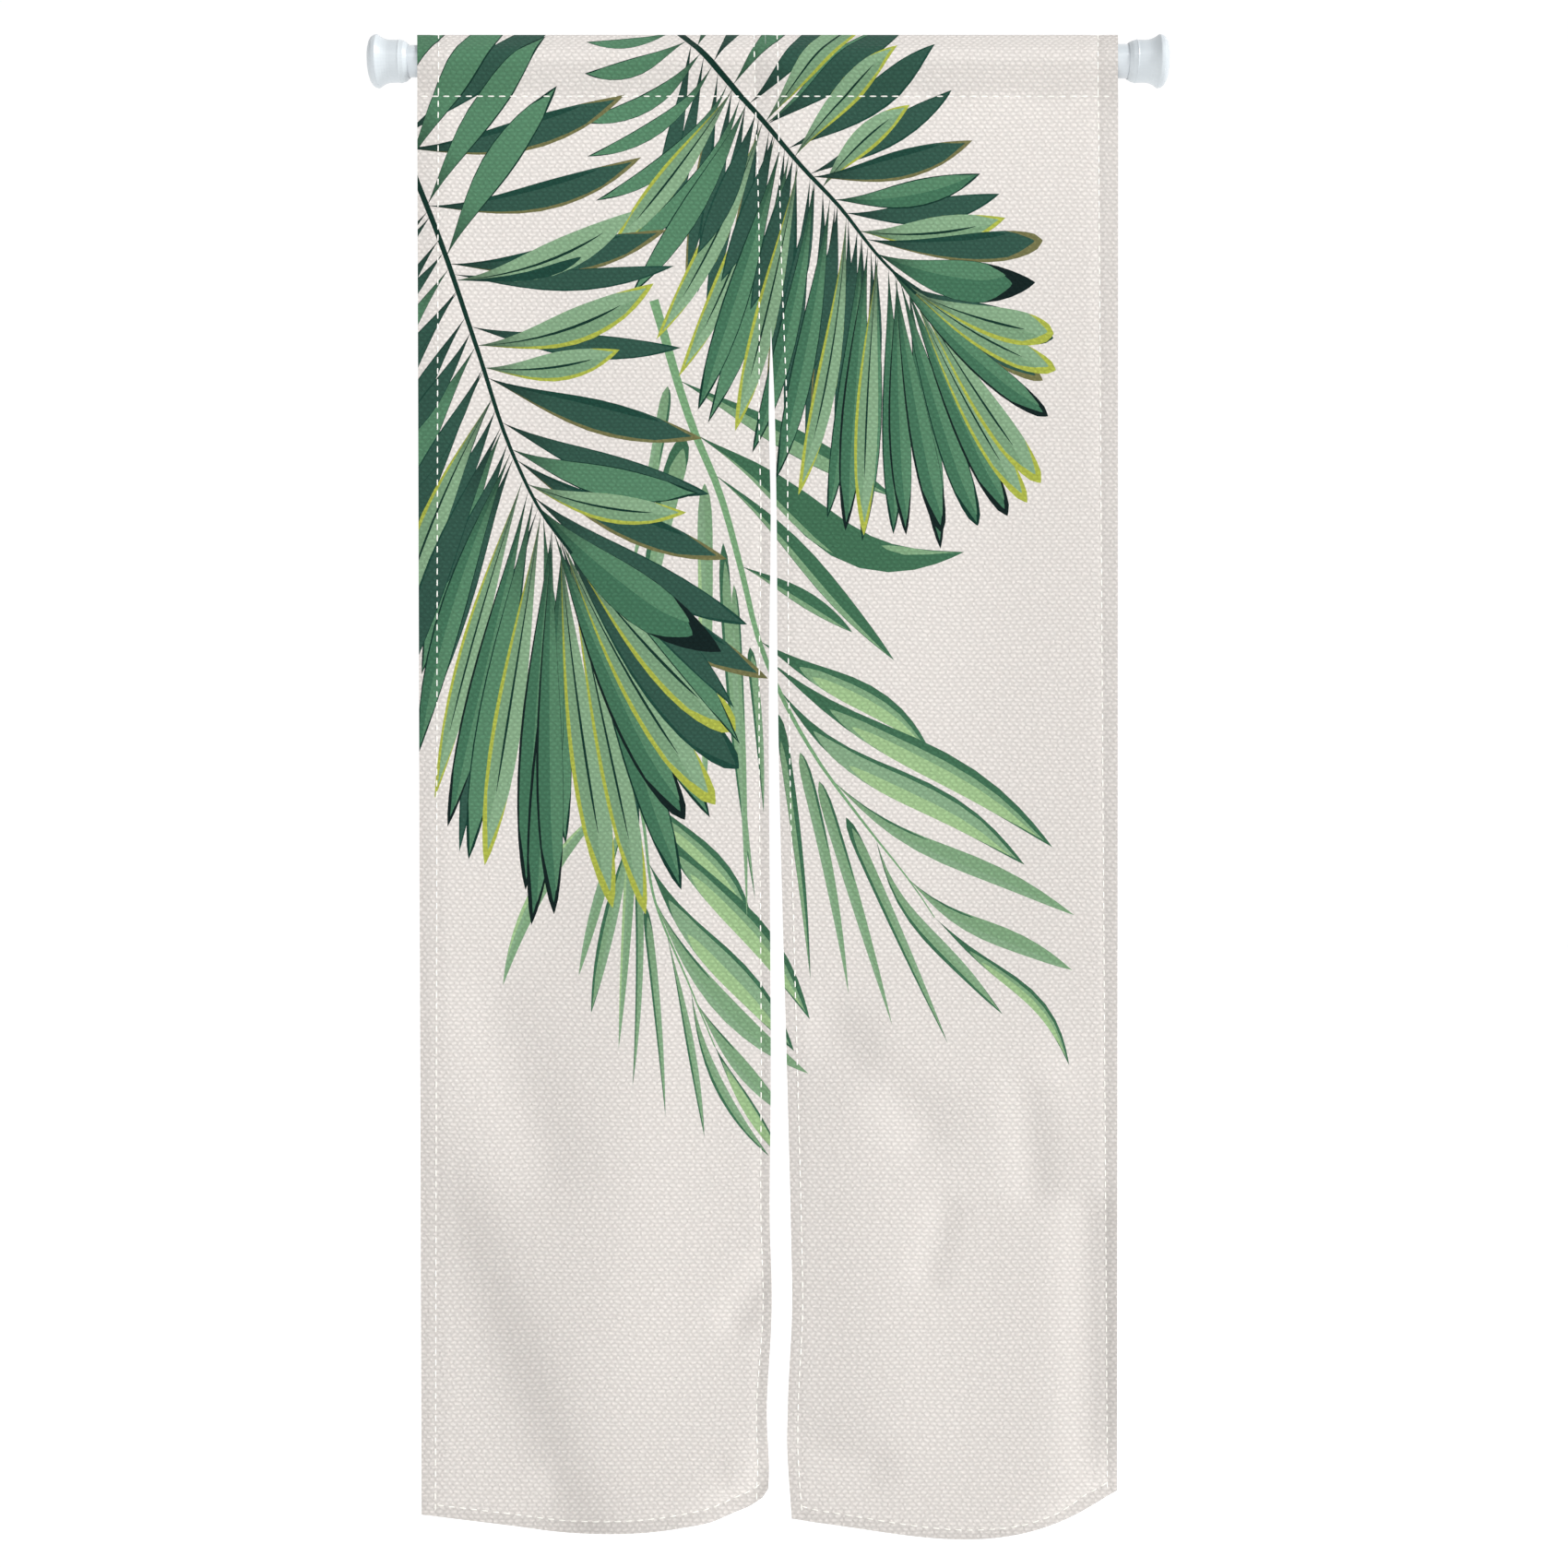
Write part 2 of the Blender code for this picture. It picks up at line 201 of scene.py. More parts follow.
# How a leaflet is filled in: strips from one side (-1) to the other (1), from share to share of its
# length, each in a colour
# low side, high side, from share, to share, colour
FINISHES = {
    "dark": ((-1, 1, 0, 1, "teal"), (-0.84, 0.92, 0.02, 0.985, "dark")),
    "olive": ((-1, 1, 0, 1, "olive"), (-0.78, 1.0, 0, 0.955, "dark"), (0.55, 1.0, 0.05, 0.8, "teal")),
    "mid": ((-1, 1, 0, 1, "deep"), (-0.88, 0.92, 0.0, 0.985, "mid2"), (-0.05, 0.92, 0.12, 0.96, "mid")),
    "flat": ((-1, 1, 0, 1, "deep"), (-0.90, 0.94, 0.0, 0.985, "mid")),
    "sage": ((-1, 1, 0, 1, "yellow"), (-0.74, 1.0, 0, 0.955, "sage"), (-0.74, -0.02, 0, 0.9, "sage2"),
             (-0.09, 0.07, 0.04, 0.80, "deep")),
    "two": ((-1, 1, 0, 1, "sage"), (-1.0, -0.30, 0, 0.66, "teal"), (-0.10, 0.06, 0.05, 0.82, "deep")),
    "tip": ((-1, 1, 0, 1, "black"), (-0.83, 0.97, 0, 0.970, "mid2"), (0.02, 0.97, 0.10, 0.94, "mid")),
    "cut": ((-1, 1, 0, 1, "black"), (-0.98, 0.98, 0, 0.86, "mid2"), (0.10, 0.98, 0.05, 0.82, "mid")),
    "pale": ((-1, 1, 0, 1, "leafy"), (-1.0, 0.48, 0.24, 0.97, "light"), (-1.0, 0.0, 0.32, 0.95, "pale")),
    "lit": ((-1, 1, 0, 1, "leafy"), (-1.0, 0.70, 0.14, 0.97, "light"), (-1.0, 0.60, 0.22, 0.95, "pale")),
    "banded": ((-1, 1, 0, 1, "leafy"), (-1.0, 0.70, 0.18, 0.97, "sage"), (-1.0, -0.10, 0.34, 0.95, "pale")),
    "edged": ((-1, 1, 0, 1, "leafy"), (-0.95, -0.36, 0.08, 0.97, "light")),
    "shaded": ((-1, 1, 0, 1, "leafy"), (-0.50, 1.0, 0.05, 0.98, "light"), (0.25, 1.0, 0.30, 0.90, "sage")),
    "sag": ((-1, 1, 0, 1, "leafy"), (-1.0, -0.66, 0.08, 0.60, "light"), (0.35, 1.0, 0.74, 0.98, "light")),
    "light": ((-1, 1, 0, 1, "light"), (0.60, 1.0, 0, 0.42, "leafy"), (-1.0, -0.30, 0.12, 0.95, "sage")),
    "green": ((-1, 1, 0, 1, "leafy"), (-0.95, 0.10, 0.10, 0.97, "light")),
    "column": ((-1, 1, 0, 1, "light"), (-1.0, 0.0, 0.03, 0.96, "sage"), (-1.0, -0.5, 0.2, 0.9, "pale")),
}


def one(at, turn, length, width, bend, sway, blunt, finish):
    """A row of a single leaflet."""
    return at, at, 1, turn, turn, length, length, width, width, bend, sway, blunt, (finish,)


# Fronds: a spine's points (distance along the rod, height), its thickness at both ends, its colour, how
# much the leaflets darken towards their bases, and the length of a stalk before it. A row of leaflets:
# from share of the spine, to share, count, from heading, to heading in degrees above +X, from length,
# to length, from width, to width, bend, sway into an S, bluntness of the tip (below zero, of the base),
# finishes in turn
FROND_LOW = dict(
    spine=((0.318, -0.870), (0.326, -0.894), (0.346, -1.017), (0.3875, -1.119), (0.419, -1.195)),
    thickness=(0.0042, 0.0014), colour="rachis", dark=0.10, rows=(
        one(0.01, -50, 0.218, 0.028, 0.03, -0.02, 0, "pale"),
        one(0.02, -122, 0.290, 0.018, -0.10, 0, 0, "column"),
        (0.04, 0.11, 2, -106, -105, 0.246, 0.248, 0.012, 0.017, -0.02, 0, 0, ("light", "shaded")),
        one(0.16, -92, 0.274, 0.015, 0.01, 0, -1, "column"),
        (0.33, 0.45, 2, -90, -85, 0.262, 0.255, 0.010, 0.010, 0.01, 0, -1, ("shaded",)),
        one(0.56, -81, 0.243, 0.009, 0.01, 0, 0, "shaded"),
        one(0.78, -64, 0.228, 0.014, -0.09, 0, 0, "shaded"),
        one(0.99, -60, 0.165, 0.014, -0.03, 0, 0, "lit"),
        one(0.09, -51, 0.325, 0.034, 0.01, -0.02, 0, "pale"),
        one(0.30, -51, 0.287, 0.034, -0.01, -0.02, 0, "banded"),
        one(0.44, -48, 0.272, 0.024, -0.07, 0, 0, "light"),
        one(0.83, -50, 0.185, 0.018, -0.03, 0, 0, "light"),
    ))
FROND_MIDDLE = dict(
    spine=((0.345, -0.290), (0.3965, -0.4557), (0.420, -0.5105), (0.4513, -0.618), (0.4725, -0.703),
           (0.4994, -0.769), (0.5407, -0.843), (0.5967, -0.920), (0.666, -1.009), (0.6853, -1.0383)),
    thickness=(0.0112, 0.0012), colour="rachis", dark=0.10, rows=(
        one(0.125, -101, 0.235, 0.014, 0.02, 0, -1, "light"),
        one(0.20, -100, 0.290, 0.028, -0.02, 0, -1, "shaded"),
        one(0.27, -91, 0.410, 0.017, 0.01, 0, -1, "column"),
        one(0.37, -86, 0.430, 0.015, -0.025, 0, -1, "shaded"),
        one(0.435, -87, 0.400, 0.011, 0.01, 0, -1, "light"),
        one(0.53, -84, 0.200, 0.012, 0.01, 0, -1, "shaded"),
        (0.63, 0.80, 4, -83, -67, 0.312, 0.298, 0.013, 0.014, 0.01, 0, -1,
         ("green", "light", "light", "shaded")),
        one(0.125, -30, 0.305, 0.030, 0.01, 0, 0, "green"),
        one(0.20, -24, 0.362, 0.048, -0.115, 0.045, 0, "sag"),
        one(0.27, -45, 0.316, 0.023, 0.02, 0.01, 0, "edged"),
        one(0.41, -32, 0.162, 0.022, 0.04, 0, 0, "edged"),
        one(0.52, -31, 0.250, 0.034, 0.03, -0.02, 0, "pale"),
        one(0.55, -33, 0.405, 0.034, 0.00, -0.02, 0, "pale"),
        one(0.59, -36, 0.380, 0.040, -0.02, -0.03, 0, "banded"),
        one(0.74, -30, 0.328, 0.026, -0.04, -0.02, 0, "light"),
        one(0.93, -30, 0.232, 0.022, -0.03, -0.02, 0, "light"),
        one(0.855, -55, 0.255, 0.016, -0.07, -0.02, 0, "shaded"),
        one(1.00, -49, 0.245, 0.016, 0.06, -0.03, 0, "pale"),
    ))
FROND_TOP = dict(
    spine=((0.324, 0.097), (0.3775, 0.0319), (0.4692, -0.0632), (0.5273, -0.1314), (0.5676, -0.174),
           (0.6202, -0.240), (0.6627, -0.2824)),
    stalk=0.12, thickness=(0.0085, 0.0030), colour="deep", dark=0.84, rows=(
        (0.20, 0.85, 15, -102, -92, 0.230, 0.340, 0.019, 0.022, 0.01, 0, 0, ("dark", "dark", "olive")),
        (0.15, 0.37, 6, -168, -130, 0.110, 0.245, 0.018, 0.024, 0.10, 0, 0, ("flat",)),
        (0.34, 0.55, 5, -126, -108, 0.240, 0.330, 0.030, 0.026, 0.03, 0, 0, ("sage", "flat", "sage")),
        (0.42, 0.86, 7, -112, -96, 0.180, 0.240, 0.024, 0.022, 0.03, 0, 0, ("dark",)),
        (0.52, 0.86, 7, -107, -94, 0.330, 0.350, 0.028, 0.026, 0.02, 0, 0.3, ("mid", "sage", "mid")),
        (0.22, 0.46, 5, 76, 40, 0.200, 0.200, 0.034, 0.030, -0.03, 0, 0, ("flat", "dark")),
        (0.46, 0.62, 3, 38, 29, 0.220, 0.205, 0.034, 0.028, -0.04, 0, 0, ("dark",)),
        (0.46, 0.66, 3, 48, 45, 0.205, 0.150, 0.034, 0.030, 0.04, 0, 0, ("sage",)),
        (0.62, 0.74, 2, 14, 8, 0.200, 0.196, 0.034, 0.034, -0.05, 0, 0, ("olive", "dark")),
        (0.70, 0.80, 2, 10, 4, 0.180, 0.172, 0.036, 0.036, -0.05, 0, 0, ("mid", "sage")),
        (0.84, 0.97, 5, -96, -84, 0.350, 0.315, 0.028, 0.026, 0.00, 0, 0.4, ("tip", "sage", "mid", "tip")),
        (0.93, 1.00, 5, -80, -55, 0.320, 0.278, 0.027, 0.032, -0.02, 0, 1,
         ("tip", "mid", "tip", "sage", "sage")),
        (0.90, 0.97, 2, -38, -20, 0.235, 0.190, 0.030, 0.034, -0.03, 0, 0.8, ("olive", "dark")),
        (0.90, 1.00, 3, -44, -15, 0.258, 0.178, 0.032, 0.038, -0.04, 0, 1, ("tip", "sage", "sage")),
        one(0.82, -2, 0.215, 0.034, -0.05, 0, 1, "olive"),
        one(0.86, -9, 0.195, 0.048, -0.06, 0, 0.2, "cut"),
    ))
FROND_LEFT = dict(
    spine=((-0.021, 0.052), (0.031, -0.078), (0.0565, -0.1426), (0.0822, -0.2075), (0.1314, -0.3506),
           (0.1728, -0.4736), (0.2119, -0.552), (0.2455, -0.597)),
    stalk=0.12, thickness=(0.0082, 0.0034), colour="deep", dark=0.84, rows=(
        (0.08, 0.22, 2, 43, 40, 0.260, 0.250, 0.034, 0.034, -0.02, 0, 0, ("dark",)),
        (0.24, 0.46, 3, 14, 10, 0.280, 0.262, 0.038, 0.040, -0.07, 0, 0, ("olive",)),
        (0.00, 0.44, 6, 54, 57, 0.250, 0.250, 0.036, 0.038, 0.04, 0, 0, ("flat",)),
        (0.26, 0.80, 12, -128, -108, 0.200, 0.330, 0.024, 0.030, -0.03, 0, 0, ("dark", "flat", "dark")),
        (0.30, 0.78, 8, -138, -116, 0.140, 0.220, 0.018, 0.022, 0.03, 0, 0, ("dark",)),
        (0.47, 0.66, 3, 2, -16, 0.262, 0.262, 0.026, 0.040, -0.04, 0, 0, ("dark", "dark", "olive")),
        (0.49, 0.60, 2, 21, 18, 0.226, 0.236, 0.044, 0.042, -0.07, 0, 0, ("two", "sage")),
        one(0.64, 7, 0.170, 0.038, -0.07, 0, 0, "sage"),
        (0.74, 0.94, 4, -20, -36, 0.270, 0.310, 0.036, 0.040, -0.05, 0, 0.2, ("dark", "olive")),
        (0.79, 0.86, 2, -14, -11, 0.228, 0.190, 0.040, 0.036, -0.05, 0, 0, ("flat", "sage")),
        (0.70, 0.90, 5, -112, -102, 0.330, 0.440, 0.030, 0.028, -0.02, 0, 0, ("sage", "dark", "mid")),
        (0.88, 1.00, 4, -100, -62, 0.400, 0.360, 0.030, 0.036, 0.00, 0, 0.3, ("dark", "flat")),
        (0.86, 0.97, 5, -104, -93, 0.430, 0.455, 0.032, 0.034, 0.00, 0, 0.4, ("tip", "flat", "sage", "tip")),
        (0.95, 1.00, 4, -89, -72, 0.460, 0.430, 0.036, 0.038, -0.01, 0, 0.6, ("tip", "sage", "sage", "mid")),
        (0.95, 1.00, 4, -65, -48, 0.400, 0.300, 0.042, 0.048, -0.03, 0, 1, ("tip", "sage", "dark", "sage")),
        (0.92, 0.96, 2, -51, -44, 0.360, 0.300, 0.030, 0.030, 0.04, 0, 0, ("flat", "dark")),
        one(0.90, -39, 0.290, 0.062, -0.05, 0, 0.2, "cut"),
    ))
FRONDS = (FROND_LOW, FROND_MIDDLE, FROND_TOP, FROND_LEFT)
LEAF_STEPS = 17                 # along a whole leaflet's outline
FEWEST_STEPS = 6
CENTRE_POINTS = 41
SPINE_POINTS = 80
STEM_POINTS = 30
BASE_SHARE = 0.30               # the print darkens towards a leaflet's base over this share
TIP_LIFT = 0.10                 # and is this much lighter at the tip
LEAF_WIDEST = 0.57              # share of the length
LEAF_SWELL = 1.35
LEAF_TIP = 0.95
ROUND_LEAF_WIDER = 0.16
ROUND_LEAF_TIP = 0.45
BLUNT_BASE_WIDEST = 0.14
BLUNT_BASE_TAPER = 2.2
BLUNT_BESIDE = 0.013            # a leaflet with a round base hangs this far beside the stem
STRIP_TIP = 0.14                # the shares of the length over which a strip's ends close
STRIP_BASE = 0.08
STRIP_ROUND = 0.6

# How much single leaflets vary
SEED = 11
VARY_PLACE = (-0.006, 0.006)
VARY_TURN = (-1.6, 1.6)
VARY_LENGTH = (0.96, 1.04)
VARY_WIDTH = (0.90, 1.10)
VARY_BEND = (-0.012, 0.012)

# Studio
SEEN_WIDTH = 1.9013             # of the frame, at the curtain
SENSOR = 36.0
TOP_SIZE = (1.6, 0.5)
TOP_FROM = (0.5, -1.6, 0.9)
TOP_TO = (0.5, 0.0, -0.3)
SKY_BAND_ENDS = (0.10, 0.46)    # how high the band fades out
SKY_TURN = (-0.2, 0.6)          # where the room in front passes into the white behind
KEY_STRENGTH = 2.50
KEY_FROM = (2.0, -1.0, 1.3)
KEY_ANGLE = 0.40
TOP_POWER = 7.0
SKY_BACK = 1.02
SKY_FRONT = 0.14                # the room in front of the curtain, but for a pale band round the horizon
SKY_BAND = 0.84
FLOOR_LEVEL = -2.0
FLOOR_HALF = 12.0
FLOOR_COLOUR = 0.40
FLOOR_GLOW = 0.78               # with the light that falls on it, the floor looks an even white


def smooth(value):
    value = np.clip(value, 0.0, 1.0)
    return value * value * (3.0 - 2.0 * value)


def read_table(table, at):
    rows = np.array(sorted(table))
    return np.interp(at, rows[:, 0], rows[:, 1])


def rounded(table, at):
    """As read_table, on a curve through the rows instead of straight runs."""
    rows = np.array(sorted(table))
    places, values = rows[:, 0], rows[:, 1]
    if len(rows) < 3:
        return np.interp(at, places, values)
    slopes = np.gradient(values, places)
    at = np.clip(at, places[0], places[-1])
    row = np.clip(np.searchsorted(places, at) - 1, 0, len(rows) - 2)
    run = places[row + 1] - places[row]
    share = (at - places[row]) / run
    return (
        (2 * share ** 3 - 3 * share ** 2 + 1) * values[row]
        + (share ** 3 - 2 * share ** 2 + share) * run * slopes[row]
        + (3 * share ** 2 - 2 * share ** 3) * values[row + 1]
        + (share ** 3 - share ** 2) * run * slopes[row + 1])


def marks_along(points):
    """How far along its line each point is."""
    return np.concatenate([[0], np.cumsum(np.linalg.norm(np.diff(points, axis=0), axis=1))])


def interpolated(at, marks, points):
    """The points of a line at the given marks."""
    return np.stack([np.interp(at, marks, points[:, 0]), np.interp(at, marks, points[:, 1])], axis=1)


def linear(colour):
    share = np.array(colour, dtype=float) / 255.0
    return np.where(share <= 0.04045, share / 12.92, ((share + 0.055) / 1.055) ** 2.4)


# The cloth's surface. A point of the printed face is known by its distance along the rod and its
# height; past the crease, the height goes on by the length of cloth
def pocket_profile():
    """Places down the printed face of the pocket: height as above, depth, true height, cloth length."""
    around = OUTER_TUBE_RADIUS + GAP + CLOTH
    seam_half = CLOTH + GAP / 2
    crease_centre = TOP_CREASE - CREASE_RADIUS
    low = math.asin((around - seam_half) / POCKET_SEAM)
    high = math.asin((around - CREASE_RADIUS) / crease_centre)
    side = [(-seam_half, -POCKET_SEAM)]
    arc = [(-around * math.cos(turn), around * math.sin(turn))
           for turn in np.linspace(-low, high, ARC_STEPS + 1)]
    crease = [(-CREASE_RADIUS * math.cos(turn), crease_centre + CREASE_RADIUS * math.sin(turn))
              for turn in np.linspace(high, math.pi / 2, CREASE_STEPS + 1)]
    for share in (0.25, 0.5, 0.75):
        side.append(tuple(np.array(side[0]) * (1 - share) + np.array(arc[0]) * share))
    slope = [tuple(np.array(arc[-1]) * (1 - share) + np.array(crease[0]) * share)
             for share in (0.33, 0.67)]
    front = np.array(side + arc + slope + crease)
    back = front[:-1][::-1] * (-1, 1)
    end = np.array([(seam_half, -POCKET_SEAM - BACK_ALLOWANCE)])
    points = np.concatenate([front, back, end])
    lengths = marks_along(points) - POCKET_SEAM
    top = len(front) - 1
    heights = np.concatenate([points[:top + 1, 1], TOP_CREASE + lengths[top + 1:] - lengths[top]])
    return heights, points[:, 0], points[:, 1], lengths


HEIGHTS, DEPTHS, TRUE_HEIGHTS, CLOTH_LENGTHS = pocket_profile()
CLOTH_END = HEIGHTS[-1]


def true_height(height):
    return np.where(height < -POCKET_SEAM, height, np.interp(height, HEIGHTS, TRUE_HEIGHTS))


def fold_shape(fold, x, z):
    kind, from_x, from_z, to_x, to_z, half_width, rise = fold
    run_x, run_z = to_x - from_x, to_z - from_z
    length = math.hypot(run_x, run_z)
    along = ((x - from_x) * run_x + (z - from_z) * run_z) / length
    across = ((x - from_x) * run_z - (z - from_z) * run_x) / length
    if kind == "step":
        side = 0.5 + 0.5 * np.tanh(STEP_SHARPNESS * across / half_width)
        return rise * side * smooth(0.5 + along / (2.0 * STEP_FADE * half_width))
    beyond = np.maximum(0.0, np.maximum(-along, along - length))
    return rise * np.exp(-(across ** 2 + beyond ** 2) / half_width ** 2)


def stitch_lines(panel, x, height):
    """How far a point is from each line of stitches, and how far it is along that line."""
    z = true_height(height)
    left = rounded(panel["left"], z) + read_table(panel["left_hem"], z)
    right = rounded(panel["right"], z) - read_table(panel["right_hem"], z)
    low = rounded(panel["bottom"], x) + read_table(panel["bottom_hem"], x)
    return ((x - left, height), (x - right, height), (height - low, x), (height + POCKET_SEAM, x))


def relief(panel, x, height):
    """The sewing's grooves and puckers, towards the front."""
    out = np.zeros_like(x)
    for away, along in stitch_lines(panel, x, height):
        near = np.exp(-(away / GROOVE_HALF_WIDTH) ** 2)
        wider = np.exp(-(away / (PUCKER_WIDER * GROOVE_HALF_WIDTH)) ** 2)
        out -= GROOVE_DEPTH * near
        out += PUCKER * wider * np.cos(math.tau * along / STITCH_PITCH)
    return out


def surface(panel, x, height):
    """Where points of the printed face lie, without the sewing's relief."""
    x = np.asarray(x, dtype=float)
    height = np.asarray(height, dtype=float)
    free = smooth((-height - FOLDS_START) / (FOLDS_FULL - FOLDS_START))
    out = free * sum(fold_shape(fold, x, height) for fold in panel["folds"])
    farther = (SEEN_FROM - out) / SEEN_FROM
    sheet = np.stack([
        SEEN_MIDDLE[0] + (x - SEEN_MIDDLE[0]) * farther,
        -CLOTH - GAP / 2 - out,
        SEEN_MIDDLE[1] + (height - SEEN_MIDDLE[1]) * farther], axis=-1)
    depth = np.interp(height, HEIGHTS, DEPTHS)
    nearer = np.maximum(0.0, -depth) / SEEN_FROM
    pocket = np.stack([
        x - (x - SEEN_MIDDLE[0]) * nearer, depth, np.interp(height, HEIGHTS, TRUE_HEIGHTS)], axis=-1)
    return np.where((height < -POCKET_SEAM)[..., None], sheet, pocket)


def facing(panel, x, height):
    """Unit normals of the printed face, towards the side that the print is on."""
    across = surface(panel, x + SLOPE_STEP, height) - surface(panel, x - SLOPE_STEP, height)
    up = surface(panel, x, height + SLOPE_STEP) - surface(panel, x, height - SLOPE_STEP)
    normal = np.cross(across, up)
    return normal / np.linalg.norm(normal, axis=-1, keepdims=True)


def thickness(panel, x, height):
    """The hems are turned, so they are thicker, but for the pocket."""
    (left, _), (right, _), (low, _), _ = stitch_lines(panel, x, height)
    inside = np.minimum(np.minimum(left, -right), low)
    hem = 1.0 - smooth(0.5 + inside / HEM_STEP)
    return CLOTH + (HEM_CLOTH - CLOTH) * hem * (height < -POCKET_SEAM - BACK_ALLOWANCE)


# Print
def spine_points(points, steps):
    """Points on a curve through the given ones, evenly spaced, and their directions."""
    points = np.array(points)
    marks = marks_along(points)
    at = np.linspace(0, marks[-1], steps)
    curve = np.stack([
        rounded(np.stack([marks, points[:, 0]], axis=1).tolist(), at),
        rounded(np.stack([marks, points[:, 1]], axis=1).tolist(), at)], axis=1)
    along = np.gradient(curve, axis=0)
    return curve, along / np.linalg.norm(along, axis=1, keepdims=True)


def sides(along):
    return np.stack([-along[:, 1], along[:, 0]], axis=1)


def leaf_widths(share, blunt):
    """Half widths along a leaflet: a needle at the base and a tip from pointed (0) to round (1), or,
    below zero, a round base and a long point."""
    if blunt < 0:
        rising = np.clip(share / BLUNT_BASE_WIDEST, 0, 1)
        falling = np.clip((share - BLUNT_BASE_WIDEST) / (1 - BLUNT_BASE_WIDEST), 0, 1)
        base, point = (1 - (1 - rising) ** 2) ** 0.5, 1 - falling ** BLUNT_BASE_TAPER
        return np.where(share < BLUNT_BASE_WIDEST, base, point)
    widest = LEAF_WIDEST + ROUND_LEAF_WIDER * blunt
    grown = np.sin(math.pi / 2 * np.clip(share / widest, 0, 1) ** LEAF_SWELL)
    ending = np.clip((share - widest) / (1 - widest), 0, 1)
    return np.where(share < widest, grown, (1 - ending ** 2) ** (LEAF_TIP - ROUND_LEAF_TIP * blunt))


def strip(centre, across, widths, low, high, start, end):
    """The outline of the part of a leaflet between two sides and two shares of its length."""
    share = np.linspace(0, 1, len(centre))
    steps = max(FEWEST_STEPS, round((end - start) * (LEAF_STEPS - 1)) + 1)
    at = start + (end - start) * (1 - np.cos(np.linspace(0, math.pi, steps))) / 2
    middle, side = interpolated(at, share, centre), interpolated(at, share, across)
    width = np.interp(at, share, widths)
    closing = np.ones_like(at)
    if end < 1:
        closing = np.clip((end - at) / STRIP_TIP, 0, 1) ** STRIP_ROUND
    if start > 0:
        closing = closing * np.clip((at - start) / STRIP_BASE, 0, 1) ** STRIP_ROUND
    centre_share = (low + high) / 2
    low_side = centre_share + (low - centre_share) * closing
    high_side = centre_share + (high - centre_share) * closing
    lower = middle + side * (width * low_side)[:, None]
    upper = middle + side * (width * high_side)[:, None]
    return np.concatenate([lower, upper[::-1]])


def leaflet(base, heading, length, width, bend, sway, blunt, finish, dark):
    """A leaflet's shapes: outline, colour, the leaflet's base, its direction over its length, and how
    much its base darkens."""
    turn = math.radians(heading)
    ahead = np.array((math.cos(turn), math.sin(turn)))
    aside = np.array((-ahead[1], ahead[0]))
    share = np.linspace(0, 1, CENTRE_POINTS)[:, None]
    aside_share = 4 * bend * share * (1 - share) + sway * np.sin(math.tau * share)
    centre = base + ahead * length * share + aside * length * aside_share
    along = np.gradient(centre, axis=0)
    across = sides(along / np.linalg.norm(along, axis=1, keepdims=True))
    widths = leaf_widths(share[:, 0], blunt) * width / 2
    shapes = []
    for low, high, start, end, colour in FINISHES[finish]:
        outline = strip(centre, across, widths, low, high, start, end)
        shapes.append((outline, colour, base, ahead / length, dark))
    return shapes


def draw_frond(frond, dice):
    curve, along = spine_points(frond["spine"], SPINE_POINTS)
    beside = curve - sides(along) * BLUNT_BESIDE
    shares = np.linspace(0, 1, len(curve))
    shapes = []
    for row in frond["rows"]:
        start, end, count, from_turn, to_turn, from_length, to_length = row[:7]
        from_width, to_width, bend, sway, blunt, finishes = row[7:]
        for number in range(count):
            part = number / max(1, count - 1)
            at = start + (end - start) * part + dice.uniform(*VARY_PLACE)
            shapes += leaflet(
                interpolated([at], shares, beside if blunt < 0 else curve)[0],
                from_turn + (to_turn - from_turn) * part + dice.uniform(*VARY_TURN),
                (from_length + (to_length - from_length) * part) * dice.uniform(*VARY_LENGTH),
                (from_width + (to_width - from_width) * part) * dice.uniform(*VARY_WIDTH),
                bend + dice.uniform(*VARY_BEND),
                sway,
                blunt,
                finishes[number % len(finishes)],
                frond["dark"])
    curve, along = spine_points(frond["spine"], STEM_POINTS)
    half = np.linspace(*frond["thickness"], len(curve))[:, None] / 2
    if "stalk" in frond:
        curve = np.concatenate([curve[:1] - along[:1] * frond["stalk"], curve])
        along = np.concatenate([along[:1], along])
        half = np.concatenate([half[:1], half])
    outline = np.concatenate([curve + sides(along) * half, (curve - sides(along) * half)[::-1]])
    shapes.append((outline, frond["colour"], curve[0], np.zeros(2), 0.0))
    return shapes


def draw_print():
    dice = random.Random(SEED)
    shapes = []
    for frond in FRONDS:
        shapes += draw_frond(frond, dice)
    return shapes


# Cloth meshes
def placed(name, data):
    """A new object in the scene."""
    made = bpy.data.objects.new(name, data)
    bpy.context.scene.collection.objects.link(made)
    return made


def inside(points, outline):
    """Which points lie inside a closed outline."""
    found = np.zeros(len(points), dtype=bool)
    x, y = points[:, 0], points[:, 1]
    for (x0, y0), (x1, y1) in zip(outline, np.roll(outline, -1, axis=0)):
        if y0 == y1:
            continue
        crosses = (y0 > y) != (y1 > y)
        found ^= crosses & (x < x0 + (y - y0) * (x1 - x0) / (y1 - y0))
    return found


class Lines:
    """Points and edges that the triangles of the cloth have to keep."""

    def __init__(self):
        self.points = []
        self.edges = []

    def add(self, points, closed=False):
        first = len(self.points)
        self.points += [Vector(point) for point in points]
        last = len(self.points)
        self.edges += [(number, number + 1) for number in range(first, last - 1)]
        if closed:
            self.edges.append((last - 1, first))


def even(start, end, step):
    return np.linspace(start, end, max(2, round(abs(end - start) / step) + 1))


def panel_edges(panel, height):
    z = true_height(height)
    return rounded(panel["left"], z), rounded(panel["right"], z)


